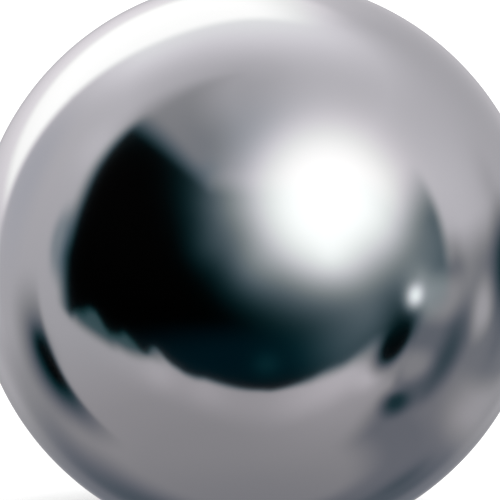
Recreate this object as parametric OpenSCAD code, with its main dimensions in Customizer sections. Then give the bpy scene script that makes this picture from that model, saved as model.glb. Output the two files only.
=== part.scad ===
/* [Ball] */
// Nominal diameter of the ball
ball_d = 25.4; // [6.35:0.05:50.8]

/* [Hidden] */
// Facets round the ball where it is drawn as a mesh
ball_facets = 180;
steel_colour = [0.56, 0.57, 0.58];

// A solid ball, headed from steel wire and lapped all over to one true sphere.
// Its centre is the origin.
module ball() {
    color(steel_colour)
        sphere(d = ball_d, $fn = ball_facets);
}

ball();
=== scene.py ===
"""A polished steel ball on a plain pale floor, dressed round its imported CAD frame.

The ball shows nothing but what it mirrors, so the world has a painted studio that its mirror rays
see. Directions in the studio are pairs of azimuth and elevation in degrees, as seen from the ball:
azimuth 0 is the camera's side (-Y), 90 is the camera's right (+X), and elevation 90 is straight up.
Widths and angles in it are degrees too. A level of 1 is white when it is seen straight, and the
steel mirrors a little over half of it.
"""

import math

import bpy
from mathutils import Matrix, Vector


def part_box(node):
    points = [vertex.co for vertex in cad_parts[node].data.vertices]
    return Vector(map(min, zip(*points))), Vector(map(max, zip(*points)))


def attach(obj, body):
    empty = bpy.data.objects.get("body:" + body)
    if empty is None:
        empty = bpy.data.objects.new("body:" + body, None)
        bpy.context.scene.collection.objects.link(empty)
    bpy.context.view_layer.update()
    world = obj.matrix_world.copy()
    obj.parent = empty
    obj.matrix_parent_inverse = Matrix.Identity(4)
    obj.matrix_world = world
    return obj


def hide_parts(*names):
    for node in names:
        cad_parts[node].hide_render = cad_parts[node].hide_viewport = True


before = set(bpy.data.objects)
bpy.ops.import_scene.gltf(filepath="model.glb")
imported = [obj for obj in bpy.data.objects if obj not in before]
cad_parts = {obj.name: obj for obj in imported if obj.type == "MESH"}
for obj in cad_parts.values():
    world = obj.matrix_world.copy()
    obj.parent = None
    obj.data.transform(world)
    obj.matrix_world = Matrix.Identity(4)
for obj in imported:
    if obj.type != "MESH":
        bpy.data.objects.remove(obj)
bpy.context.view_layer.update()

# The ball, from the frame. Its centre is the origin, and its mesh reaches its full radius on top.
LOW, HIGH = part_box("ball")
RADIUS = HIGH.z
FLOOR_Z = LOW.z

# The ball's mesh: a cube's six sides, each a grid of squares, blown up to a sphere. Where sides
# meet, corners that agree to this many digits are one.
SQUARES_PER_SIDE = 64
SAME_PLACE_DIGITS = 9

# The photograph's framing: a picture IMAGE_PX square, with the ball's outline a circle in it
IMAGE_PX = 500
OUTLINE_CENTRE_PX = (257.8, 262.6)
OUTLINE_RADIUS_PX = 284.6

# Where the camera is, and how near a thing it still shows, in metres
CAMERA_ELEVATION = 8.0
CAMERA_DISTANCE = 20.0 * RADIUS
CAMERA_NEAREST = 0.01

# Polished through-hardened steel, and how much its colour and roughness vary over the ball
STEEL_COLOUR = (0.56, 0.57, 0.58)
STEEL_COLOUR_CHANGE = 0.02
STEEL_ROUGHNESS = 0.085
STEEL_ROUGHNESS_CHANGE = 0.02
PATCHES_PER_RADIUS = 1.5
GRAINS_PER_RADIUS = 60.0

# The level of the backdrop to the camera, and of the light that comes from all round
BACKDROP = 1.0
DOME_LEVEL = 0.62

# The key light: where it stands, the strength and spread of its lamp, and its mirrored disc
KEY = (33.2, 30.9)
KEY_STRENGTH = 1.5
KEY_SPREAD = 30.0
KEY_RADIUS = 28.3
KEY_LEVEL = (2.01, 1.95, 1.91)

# The window behind the ball
WINDOW_LEVEL = (1.71, 1.68, 1.65)

# The bare studio at each elevation, from the table under the ball, darkest there as painted shade, up
# to the ceiling
ROOM_LEVELS = [
    (-90, 0.36), (-60, 0.39), (-45, 0.43), (-20, 0.57), (0, 0.63), (30, 0.69),
    (50, 0.71), (60, 0.62), (75, 0.52), (84, 0.46), (90, 0.46),
]

# The floor: its width in metres, its colour to the mirror, darker than its own as painted shade,
# and its colour to the camera, and the extra light with which the camera sees it: under the ball,
# away from it, and from where to where that changes, in ball radii
FLOOR_WIDTH = 6.0
FLOOR_SHADED_MIRROR_COLOUR = (0.58, 0.56, 0.575)
FLOOR_COLOUR_SEEN = 0.8
FLOOR_LIFT_UNDER = 0.3
FLOOR_LIFT_AWAY = 0.7
FLOOR_LIFT_REACH = (0.8, 1.5)
# From where to where, in ball radii, the floor fades out of the mirror
FLOOR_MIRRORED_REACH = (0.3, 0.55)

# Degrees in a radian
RADIAN = math.degrees(1)

# The numbers of a mix node's sockets for colours
MIX_SHARE = 0
MIX_UNDER = 6
MIX_OVER = 7
MIX_RESULT = 2


def direction(azimuth, elevation):
    """The unit vector that points that way from the ball."""
    turn = math.radians(azimuth)
    rise = math.radians(elevation)
    return (math.sin(turn) * math.cos(rise), -math.cos(turn) * math.cos(rise), math.sin(rise))


def colour(level):
    """A grey for one number, or the colour of three."""
    red, green, blue = level if isinstance(level, tuple) else (level, level, level)
    return (red, green, blue, 1)


class Value:
    """What a shader node puts out, so that sums of nodes can be written with Python's own signs."""

    def __init__(self, nodes, socket):
        self.nodes = nodes
        self.socket = socket

    def __add__(self, other):
        return self.nodes.maths("ADD", self, other)

    def __sub__(self, other):
        return self.nodes.maths("SUBTRACT", self, other)

    def __rsub__(self, other):
        return self.nodes.maths("SUBTRACT", other, self)

    def __mul__(self, other):
        return self.nodes.maths("MULTIPLY", self, other)

    def __truediv__(self, other):
        return self.nodes.maths("DIVIDE", self, other)

    def __rtruediv__(self, other):
        return self.nodes.maths("DIVIDE", other, self)

    def __pow__(self, other):
        return self.nodes.maths("POWER", self, other)

    def __abs__(self):
        return self.nodes.maths("ABSOLUTE", self)


class Nodes:
    """Adds shader nodes to one tree. What it feeds them is numbers, tuples or Values."""

    def __init__(self, tree):
        self.tree = tree

    def put(self, given, socket):
        """Feeds one input of a node."""
        if isinstance(given, Value):
            self.tree.links.new(given.socket, socket)
        else:
            socket.default_value = given

    def add(self, kind, inputs, **settings):
        """A new node, with its settings by name, and its inputs by name or number."""
        node = self.tree.nodes.new(kind)
        for name, setting in settings.items():
            setattr(node, name, setting)
        for place, given in inputs.items():
            self.put(given, node.inputs[place])
        return node

    def value(self, kind, inputs, output=0, **settings):
        """What a new node puts out, at one of its outputs."""
        return Value(self, self.add(kind, inputs, **settings).outputs[output])

    def outputs(self, kind):
        """All that a new node puts out, by name, where it takes nothing in."""
        return {socket.name: Value(self, socket) for socket in self.add(kind, {}).outputs}

    def maths(self, operation, *values):
        return self.value("ShaderNodeMath", dict(enumerate(values)), operation=operation)

    def sqrt(self, value):
        return self.maths("SQRT", value)

    def sine(self, value):
        return self.maths("SINE", value)

    def exponent(self, value):
        return self.maths("EXPONENT", value)

    def larger(self, one, other):
        return self.maths("MAXIMUM", one, other)

    def dot(self, one, other):
        return self.value("ShaderNodeVectorMath", {0: one, 1: other}, "Value", operation="DOT_PRODUCT")

    def split(self, vector):
        """The three numbers that a vector or a colour is made of."""
        node = self.add("ShaderNodeSeparateXYZ", {0: vector})
        return [Value(self, socket) for socket in node.outputs]

    def combine(self, red, green, blue):
        return self.value("ShaderNodeCombineColor", {0: red, 1: green, 2: blue})

    def smooth(self, value, start, end):
        """Rises smoothly from 0 at start to 1 at end, which may be the lower of the two."""
        inputs = {"Value": value, "From Min": start, "From Max": end}
        return self.value("ShaderNodeMapRange", inputs, "Result", interpolation_type="SMOOTHSTEP")

    def band(self, value, start, full, fade, end):
        """Rises from start to full, and falls from fade to end."""
        return self.smooth(value, start, full) * self.smooth(value, end, fade)

    def between(self, share, low, high):
        """Low where the share is 0, and high where it is 1."""
        return share * (high - low) + low

    def mix(self, share, under, over, blend="MIX"):
        """Lays one colour over another."""
        inputs = {MIX_SHARE: share, MIX_UNDER: under, MIX_OVER: over}
        return self.value("ShaderNodeMix", inputs, MIX_RESULT, data_type="RGBA", blend_type=blend)

    def ramp(self, value, stops):
        """A grey that follows the stops, which are pairs of a value and its level."""
        first, last = stops[0][0], stops[-1][0]
        node = self.add("ShaderNodeValToRGB", {0: (value - first) / (last - first)})
        elements = node.color_ramp.elements
        for place, _ in stops[1:-1]:
            elements.new((place - first) / (last - first))
        for element, (_, level) in zip(elements, stops):
            element.color = colour(level)
        return Value(self, node.outputs[0])

    def noise(self, place, scale, detail):
        """Smooth noise, from about -0.5 to 0.5."""
        inputs = {"Vector": place, "Scale": scale, "Detail": detail}
        return self.value("ShaderNodeTexNoise", inputs) - 0.5

    def mirror_ray(self, path):
        """1 for a ray that a mirror or a clear thing sends out, from a Light Path node's outputs."""
        return self.larger(path["Is Glossy Ray"], path["Is Transmission Ray"])


class Studio(Nodes):
    """The studio as the steel mirrors it. It starts as a bare room, and is painted over in turn."""

    def __init__(self, tree):
        super().__init__(tree)
        self.way = self.outputs("ShaderNodeTexCoord")["Generated"]
        x, y, z = self.split(self.way)
        self.azimuth = self.maths("ARCTAN2", x, y * -1) * RADIAN
        self.elevation = self.maths("ARCSINE", z) * RADIAN
        self.seen = self.ramp(self.elevation, ROOM_LEVELS)

    def azimuth_from(self, azimuth):
        """The turn from that azimuth, from -180 to 180."""
        return self.maths("WRAP", self.azimuth - azimuth, 180.0, -180.0)

    def angle_from(self, at):
        cosine = self.maths("MINIMUM", self.dot(self.way, direction(*at)), 1.0)
        return self.maths("ARCCOSINE", cosine) * RADIAN

    def glow(self, at, size):
        """1 in one direction, fading all round, to 0.37 at an angle of size."""
        share = self.angle_from(at) / size
        return self.exponent(share * share * -1)

    def disc(self, at, inner, outer):
        """1 round one direction, up to an angle of inner, and 0 past outer."""
        return self.smooth(self.angle_from(at), outer, inner)

    def spot(self, at, half, soft, lean=0):
        """An ellipse with half its width and height given, whose edge fades over soft of its size.

        Its top leans that many degrees to the right.
        """
        azimuth, elevation = at
        half_width, half_height = half
        across = self.azimuth_from(azimuth) * math.cos(math.radians(elevation))
        up = self.elevation - elevation
        cosine = math.cos(math.radians(lean))
        sine = math.sin(math.radians(lean))
        u = (across * cosine - up * sine) / half_width
        v = (up * cosine + across * sine) / half_height
        return self.smooth(self.sqrt(u * u + v * v), 1 + soft, 1 - soft)

    def paint(self, mask, level, share=1):
        """Covers what is there with a level or colour, or with that share of it."""
        self.seen = self.mix(mask * share, self.seen, colour(level))

    def dim(self, mask, level):
        """Multiplies what is there by a level or colour."""
        self.seen = self.mix(mask, self.seen, colour(level), "MULTIPLY")

    def light(self, mask, level):
        """Adds a level or colour to what is there."""
        self.seen = self.mix(mask, self.seen, colour(level), "ADD")


def paint_room(studio):
    """Light and shade on the bare table, walls and ceiling."""
    studio.light(studio.glow(at=(36, -43), size=22), 0.09)
    studio.light(studio.glow(at=(50, 70), size=22), 0.14)
    studio.light(studio.glow(at=(92, 18), size=20), 0.12)
    studio.light(studio.glow(at=(-91, 36), size=9), 0.10)
    studio.dim(studio.glow(at=(150, 18), size=24), 0.87)
    side_wall = studio.spot(at=(-120, 14), half=(9, 15), soft=0.8)
    studio.paint(side_wall, (0.57, 0.59, 0.62), share=0.7)


def paint_shade(studio):
    """The shaded table and wall behind the ball, and a dark prop that stands there at the left."""
    studio.paint(studio.disc(at=(180, -64), inner=10, outer=42), 0.3, share=0.7)
    studio.paint(studio.spot(at=(176, -46), half=(36, 20), soft=0.45), 0.13)
    studio.paint(studio.disc(at=(180, -22), inner=8, outer=32), 0.33, share=0.7)
    studio.dim(studio.spot(at=(-133, -30), half=(20, 9), soft=0.7), 0.75)
    studio.dim(studio.spot(at=(180, -25), half=(18, 9), soft=0.6), 0.6)
    prop = studio.spot(at=(-103, -28.8), half=(12, 14.7), soft=0.85)
    studio.paint(prop * studio.smooth(studio.azimuth, -97, -101), 0.0)
    studio.dim(studio.glow(at=(-105, -23), size=5), 0.0)


def paint_flap(studio):
    """The flap above the dark opening, and the shade beside the key light."""
    azimuth = studio.azimuth
    elevation = studio.elevation
    over_bottom = studio.smooth(elevation + azimuth * 0.4, 2, 20)
    under_top = studio.smooth(elevation + azimuth * 0.3, 67, 43)
    studio.paint(studio.band(azimuth, -98, -74, -34, 8) * over_bottom * under_top, 0.36)
    studio.dim(studio.glow(at=(8, 48), size=24), (0.2, 0.3, 0.36))
    studio.dim(studio.glow(at=(-25, 43), size=5), (0.7, 0.8, 0.84))


def table_edge(studio):
    """The elevation of the lit table's far edge: a shallow bowl, lowest in front of the ball."""
    azimuth = studio.azimuth
    rounding = 30
    bowl = studio.sqrt(azimuth * azimuth + rounding * rounding) * 0.58 - 61.7
    dip = studio.smooth(azimuth, 0, 7) * 0.6
    hump = studio.band(azimuth, 24, 31, 34, 40) * 0.6
    rise = studio.smooth(azimuth, 34, 50) * 2.6
    return bowl - dip + hump + rise


def paint_table(studio, over_edge):
    """The light along the table's far edge and in two places on it, and its dim right side."""
    azimuth = studio.azimuth
    elevation = studio.elevation
    along_edge = studio.band(over_edge, -22, -6, -1, 3) * studio.band(azimuth, -80, -50, 52, 64)
    studio.light(along_edge * (studio.smooth(azimuth, 0, 40) * 0.10 + 0.06), 1.0)
    studio.light(studio.glow(at=(-46, -36), size=6), 0.07)
    studio.light(studio.glow(at=(-25, -44), size=7), 0.06)
    far_side = studio.band(azimuth, 78, 88, 132, 158) * studio.band(elevation, -52, -38, -2, 12)
    studio.paint(far_side, 0.27)
    near_side = studio.band(azimuth, 58, 80, 140, 165) * studio.band(elevation, -68, -54, -48, -36)
    studio.paint(near_side, 0.225)


def paint_left_wall(studio):
    """A dim patch on the wall, just left of the opening."""
    patch = studio.spot(at=(-87, 6), half=(5.4, 10), soft=0.5)
    studio.dim(patch, (0.52, 0.59, 0.62))


def paint_fringe(studio, over_edge):
    """A grey fringe along the table's edge at the left. The opening covers it from its top up."""
    azimuth = studio.azimuth
    hang = studio.band(azimuth, -92, -86, -58, -46) * 4.4
    notch = studio.band(azimuth, -65, -61, -57, -50) * 1.2
    over_bottom = studio.smooth(over_edge - (notch - hang), -3.2, 3.2)
    length = studio.band(azimuth, -88, -77, -49, -38)
    fringe = over_bottom * length * studio.smooth(studio.elevation, 20, 0)
    studio.paint(fringe, (0.1, 0.13, 0.12))


def fringe_top(studio):
    """How far the fringe reaches over the table's edge, in uneven waves."""
    azimuth = studio.azimuth
    wave_width = 13.3
    waves = studio.sine((azimuth + 73.3) * (2 * math.pi / wave_width)) * 2.3
    unevenness = studio.noise(studio.way, scale=14, detail=3) * 3
    fading = studio.band(azimuth, -82, -75, -47, -33)
    left_hollow = studio.band(azimuth, -92, -88, -83, -76) * 4.2
    middle_hollow = studio.band(azimuth, -63, -59, -56, -51) * 1.3
    right_hollow = studio.band(azimuth, -38, -33, -30, -24) * 1.1
    return (waves + unevenness + 2.6) * fading - (left_hollow + middle_hollow) - right_hollow


def inside_opening(studio, over_edge):
    """1 inside the dark opening, over the table's edge and the fringe, and under a curved top."""
    azimuth = studio.azimuth
    elevation = studio.elevation
    # The top is an arch round azimuth -72, then level, and lower and softer at the right
    at_right = studio.smooth(azimuth, 45, 65)
    from_arch = azimuth + 72
    arch = 51.3 - from_arch * from_arch * 0.0055
    top = studio.larger(arch, studio.between(at_right, 38, 25))
    top_softness = studio.between(at_right, 5.5, 11)
    under_top = studio.smooth((elevation - top) / top_softness, 1, -1)
    # The bottom is softer towards the right
    softer = studio.smooth(azimuth, 10, 35) * 2.7 + studio.smooth(azimuth, 38, 50) * 2.5
    bottom_softness = softer - studio.smooth(azimuth, -20, 0) * 0.7 + 2.1
    over_bottom = studio.smooth((over_edge - fringe_top(studio)) / bottom_softness, -1, 1)
    bulge = studio.smooth(elevation, 38, 52) * 1.2 + studio.band(elevation, 2, 10, 20, 34)
    left = studio.smooth(azimuth - bulge, -89.7, -80)
    right = studio.smooth(azimuth, 85.5, 78.5)
    return left * right * over_bottom * under_top


def paint_opening(studio, opening):
    """The dark opening in front of the ball, with the little light that is in it."""
    studio.paint(opening, 0.0)
    low_down = studio.spot(at=(-8, -31), half=(38, 11), soft=0.7)
    studio.light(low_down * opening, (0.002, 0.011, 0.0145))
    studio.light(studio.glow(at=(4, -33), size=5) * opening, (0.014, 0.019, 0.018))
    studio.light(studio.glow(at=(40, -22), size=15) * opening, 0.11)
    studio.light(studio.glow(at=(77, 5), size=12) * opening, 0.17)
    studio.light(studio.glow(at=(1, 9), size=11), 0.21)
    studio.light(studio.glow(at=(-18, 15), size=8), 0.045)


def paint_block(studio):
    """A dim block at the right of the table, with a lit top and a lit foot."""
    azimuth = studio.azimuth
    block = studio.band(azimuth, 64, 70, 88, 95) * studio.band(studio.elevation, -42, -36, -3, 4)
    studio.paint(block, 0.21)
    top = studio.spot(at=(79, -9.5), half=(13, 6.5), soft=0.6)
    studio.paint(top * studio.smooth(azimuth, 66, 74), 0.41)
    studio.paint(studio.spot(at=(73.5, -31), half=(8, 5), soft=0.7), 0.36)


def paint_strip(studio):
    """A pale strip along the right edge of the table, and two light places over its near end."""
    azimuth = studio.azimuth
    past = azimuth - 110
    over_strip = studio.elevation - past * past * 0.0068 + 34
    strip = studio.band(over_strip, -10, -1, 1, 8) * studio.band(azimuth, 92, 132, 152, 168)
    studio.paint(strip, 0.49)
    studio.light(studio.glow(at=(93, 0), size=8), 0.10)
    studio.paint(studio.spot(at=(104, -13), half=(6, 6), soft=0.8), 0.56)


def paint_dark_things(studio):
    """Small dark things at the right of the table, and an upright prop in front of them."""
    studio.paint(studio.spot(at=(119, -4), half=(9.5, 9), soft=0.8), 0.03)
    studio.dim(studio.glow(at=(119, 12), size=7), 0.87)
    studio.paint(studio.spot(at=(91, -26), half=(6, 12), soft=0.9, lean=6), 0.06, share=0.78)
    studio.paint(studio.spot(at=(82, -40), half=(5, 7), soft=0.9, lean=35), 0.12, share=0.65)
    studio.paint(studio.spot(at=(75.5, -43.5), half=(6, 4.5), soft=0.8), 0.045)
    studio.paint(studio.spot(at=(60, -23), half=(6.5, 11.5), soft=0.45, lean=25), 0.0)


def shade_right_side(studio):
    """Shade beside the prop and between the other things, and a lit place at the prop's foot."""
    studio.dim(studio.glow(at=(50, -29), size=5), 0.7)
    studio.light(studio.glow(at=(53, -38), size=4.5), 0.1)
    studio.dim(studio.glow(at=(63, -34), size=4), 0.8)
    studio.dim(studio.glow(at=(71, -49), size=5), 0.85)
    studio.dim(studio.glow(at=(85, 4), size=6), 0.77)
    studio.dim(studio.glow(at=(144, -46), size=7), 0.6)
    studio.dim(studio.glow(at=(150, -24), size=8), 0.86)
    studio.dim(studio.glow(at=(121, -19), size=6), 0.8)


def paint_window(studio):
    """The bright window behind the ball, with its light on the ceiling and wall.

    It dims below a sloping sill and a sloping bar, and it fades out towards the right.
    """
    elevation = studio.elevation
    studio.light(studio.glow(at=(180, 56), size=28) * studio.smooth(elevation, 30, 62), 0.62)
    studio.light(studio.glow(at=(-137, 47), size=14), 0.3)
    from_back = studio.azimuth_from(180)
    half_width = 50.8
    half_height = 48.5
    from_middle = abs(from_back / half_width) ** 3 + abs((elevation - 8) / half_height) ** 3
    over_sill = elevation + from_back * 0.36 - studio.smooth(from_back, 12, -6) * 12 - 23.5
    over_bar = elevation + from_back * 0.5 - 30
    above = studio.smooth(over_sill, -28, 20) * 0.65 + studio.smooth(over_bar, -4, 4) * 0.35
    window = studio.smooth(from_middle, 1.2, 0.8) * above * studio.smooth(from_back, -27, 3)
    studio.paint(window, WINDOW_LEVEL)


def paint_key(studio):
    """The key light, a big soft disc in front of the ball, and the glare and shade beside it."""
    softness = studio.smooth(studio.elevation, 0, 50) * 1.2 + 5.3
    past_edge = (studio.angle_from(KEY) - KEY_RADIUS) / softness
    # Half of its level at the edge, and none left from 8 softnesses past it
    disc = studio.smooth(past_edge, 8, 3) / (studio.exponent(past_edge) + 1)
    studio.paint(disc, KEY_LEVEL)
    studio.light(studio.glow(at=(-12, 30), size=11), 0.09)
    studio.light(studio.glow(at=(12, -6), size=14), 0.02)
    studio.light(studio.glow(at=(46, -13), size=8), 0.05)
    studio.dim(studio.glow(at=(48, 5), size=12), 0.8)
    studio.light(studio.glow(at=(29, 9), size=6), 0.1)


def paint_small_light(studio):
    """The small light low at the right of the key light, and its glare."""
    studio.light(studio.glow(at=(65.6, -7.7), size=3.4), 1.4)
    studio.light(studio.glow(at=(66, -2.5), size=7), 0.2)


def paint_tint(studio, opening):
    """Dark things turn teal and the table a little pink, and all but the lights a little violet."""
    red, green, blue = studio.split(studio.seen)
    # Red below about 0.08 loses half or more. Above that it loses more in the opening than elsewhere.
    loss = studio.between(opening, 0.006 / red, 0.085)
    red_kept = red / (red + loss)
    pink = studio.smooth(studio.elevation, -20, -45) * 0.03 + 1
    more_blue = studio.smooth(green, 0.4, 0.05) * (opening * -0.05 + 0.2) + 1
    studio.seen = studio.combine(red * red_kept * pink, green, blue * more_blue)
    studio.dim(studio.smooth(green, 1.4, 0.95), (1.053, 1.0, 1.056))


def paint_studio(studio):
    """All that is in the studio. Each thing covers, dims or lights what was painted before it."""
    paint_room(studio)
    paint_shade(studio)
    paint_flap(studio)
    over_edge = studio.elevation - table_edge(studio)
    paint_table(studio, over_edge)
    paint_left_wall(studio)
    paint_fringe(studio, over_edge)
    opening = inside_opening(studio, over_edge)
    paint_opening(studio, opening)
    paint_block(studio)
    paint_strip(studio)
    paint_dark_things(studio)
    shade_right_side(studio)
    paint_window(studio)
    paint_key(studio)
    paint_small_light(studio)
    paint_tint(studio, opening)


def add_world():
    """White to the camera, the studio to the mirror, and a plain even level to all else."""
    world = bpy.data.worlds.new("studio")
    bpy.context.scene.world = world
    world.use_nodes = True
    studio = Studio(world.node_tree)
    paint_studio(studio)
    path = studio.outputs("ShaderNodeLightPath")
    # 1 for a ray that has met nothing matt on its way
    straight = studio.maths("LESS_THAN", path["Diffuse Depth"], 0.5)
    seen = studio.mix(studio.mirror_ray(path) * straight, colour(DOME_LEVEL), studio.seen)
    seen = studio.mix(path["Is Camera Ray"], seen, colour(BACKDROP))
    studio.put(seen, world.node_tree.nodes["Background"].inputs["Color"])


def add_object(name, data):
    """A new object in the scene."""
    new = bpy.data.objects.new(name, data)
    bpy.context.scene.collection.objects.link(new)
    return new


def cube_sides():
    """For each side of a cube, the place on it at a and b, which run from -1 to 1 along its edges."""
    return [
        lambda a, b: (1, a, b), lambda a, b: (-1, -a, b), lambda a, b: (-a, 1, b),
        lambda a, b: (a, -1, b), lambda a, b: (a, b, 1), lambda a, b: (-a, b, -1),
    ]


def ball_mesh():
    """A cube's grid blown up to a sphere, its lines spaced evenly by angle."""
    angles = [90 * i / SQUARES_PER_SIDE - 45 for i in range(SQUARES_PER_SIDE + 1)]
    steps = [math.tan(math.radians(angle)) for angle in angles]
    places = []
    index_of = {}
    faces = []

    def vertex(place):
        """The index of the ball's vertex over a place on the cube, which is new or shared."""
        key = tuple(round(c, SAME_PLACE_DIGITS) for c in place)
        if key not in index_of:
            index_of[key] = len(places)
            length = math.sqrt(sum(c * c for c in place))
            places.append([RADIUS * c / length for c in place])
        return index_of[key]

    for place_at in cube_sides():
        for i in range(SQUARES_PER_SIDE):
            for j in range(SQUARES_PER_SIDE):
                corners = [(i, j), (i + 1, j), (i + 1, j + 1), (i, j + 1)]
                faces.append([vertex(place_at(steps[a], steps[b])) for a, b in corners])
    mesh = bpy.data.meshes.new("polished_ball")
    mesh.from_pydata(places, [], faces)
    mesh.shade_smooth()
    return mesh


def polished_steel():
    """Lapped steel: a mirror, with faint cloudy patches and a fine grain in its polish.

    It has no bump, because lapping leaves no relief that shows beside what the ball mirrors.
    """
    material = bpy.data.materials.new("polished_steel")
    material.use_nodes = True
    nodes = Nodes(material.node_tree)
    steel = material.node_tree.nodes["Principled BSDF"]
    place = nodes.outputs("ShaderNodeTexCoord")["Object"]
    patches = nodes.noise(place, scale=PATCHES_PER_RADIUS / RADIUS, detail=2)
    grain = nodes.noise(place, scale=GRAINS_PER_RADIUS / RADIUS, detail=3)
    red, green, blue = STEEL_COLOUR
    shade = patches * STEEL_COLOUR_CHANGE + 1
    roughness = (patches + grain) * STEEL_ROUGHNESS_CHANGE + STEEL_ROUGHNESS
    nodes.put(nodes.combine(shade * red, shade * green, shade * blue), steel.inputs["Base Color"])
    nodes.put(roughness, steel.inputs["Roughness"])
    nodes.put(1.0, steel.inputs["Metallic"])
    return material


def add_ball():
    """The dressed ball, in the place of the frame's node of that name."""
    piece = add_object("polished_ball", ball_mesh())
    piece.data.materials.append(polished_steel())
    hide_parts("ball")
    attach(piece, "root")


def floor_material():
    """White to the camera but for the ball's soft shadow. The mirror sees it only by the ball, in a
    darker colour that is painted shade.
    """
    material = bpy.data.materials.new("floor")
    material.use_nodes = True
    tree = material.node_tree
    tree.nodes.remove(tree.nodes["Principled BSDF"])
    nodes = Nodes(tree)
    path = nodes.outputs("ShaderNodeLightPath")
    to_camera = path["Is Camera Ray"]
    x, y, _ = nodes.split(nodes.outputs("ShaderNodeNewGeometry")["Position"])
    away = nodes.sqrt(x * x + y * y) / RADIUS

    # Painted shade: to the mirror the floor has a darker colour than to the camera
    mirror_shade_or_camera_colour = nodes.mix(to_camera, colour(FLOOR_SHADED_MIRROR_COLOUR), colour(FLOOR_COLOUR_SEEN))
    sheet = nodes.value("ShaderNodeBsdfDiffuse", {"Color": mirror_shade_or_camera_colour})
    lift_full = nodes.smooth(away, *FLOOR_LIFT_REACH)
    lift_level = nodes.between(lift_full, FLOOR_LIFT_UNDER, FLOOR_LIFT_AWAY)
    lift = nodes.value("ShaderNodeEmission", {"Strength": to_camera * lift_level})
    lit_sheet = nodes.value("ShaderNodeAddShader", {0: sheet, 1: lift})

    clear = nodes.value("ShaderNodeBsdfTransparent", {})
    seen_through = nodes.mirror_ray(path) * nodes.smooth(away, *FLOOR_MIRRORED_REACH)
    surface = nodes.value("ShaderNodeMixShader", {0: seen_through, 1: lit_sheet, 2: clear})
    nodes.put(surface, tree.nodes["Material Output"].inputs["Surface"])
    return material


def add_floor():
    """A wide plain sheet that the ball touches. It is part of the scene alone."""
    half = FLOOR_WIDTH / 2
    corners = [(-half, -half), (half, -half), (half, half), (-half, half)]
    mesh = bpy.data.meshes.new("floor")
    mesh.from_pydata([(x, y, FLOOR_Z) for x, y in corners], [], [(0, 1, 2, 3)])
    mesh.materials.append(floor_material())
    add_object("floor", mesh)


def add_key_lamp():
    """The lamp of the key light. The mirror sees the light's disc in the studio instead."""
    lamp = bpy.data.lights.new("key_lamp", "SUN")
    lamp.energy = KEY_STRENGTH
    lamp.angle = math.radians(KEY_SPREAD)
    key = add_object("key_lamp", lamp)
    key.rotation_mode = "QUATERNION"
    key.rotation_quaternion = Vector(direction(*KEY)).to_track_quat("Z", "Y")
    key.visible_glossy = False


def add_camera():
    """Far off at the photograph's height, with the ball's outline where the photograph has it."""
    data = bpy.data.cameras.new("camera")
    half_outline = math.tan(math.asin(RADIUS / CAMERA_DISTANCE))
    data.angle = 2 * math.atan(half_outline * IMAGE_PX / 2 / OUTLINE_RADIUS_PX)
    data.shift_x = (IMAGE_PX / 2 - OUTLINE_CENTRE_PX[0]) / IMAGE_PX
    data.shift_y = (OUTLINE_CENTRE_PX[1] - IMAGE_PX / 2) / IMAGE_PX
    data.clip_start = CAMERA_NEAREST
    viewer = add_object("camera", data)
    away = Vector(direction(0, CAMERA_ELEVATION))
    viewer.location = away * CAMERA_DISTANCE
    viewer.rotation_euler = away.to_track_quat("Z", "Y").to_euler()
    bpy.context.scene.camera = viewer


add_ball()
add_world()
add_floor()
add_key_lamp()
add_camera()
bpy.context.scene.view_settings.view_transform = "Standard"
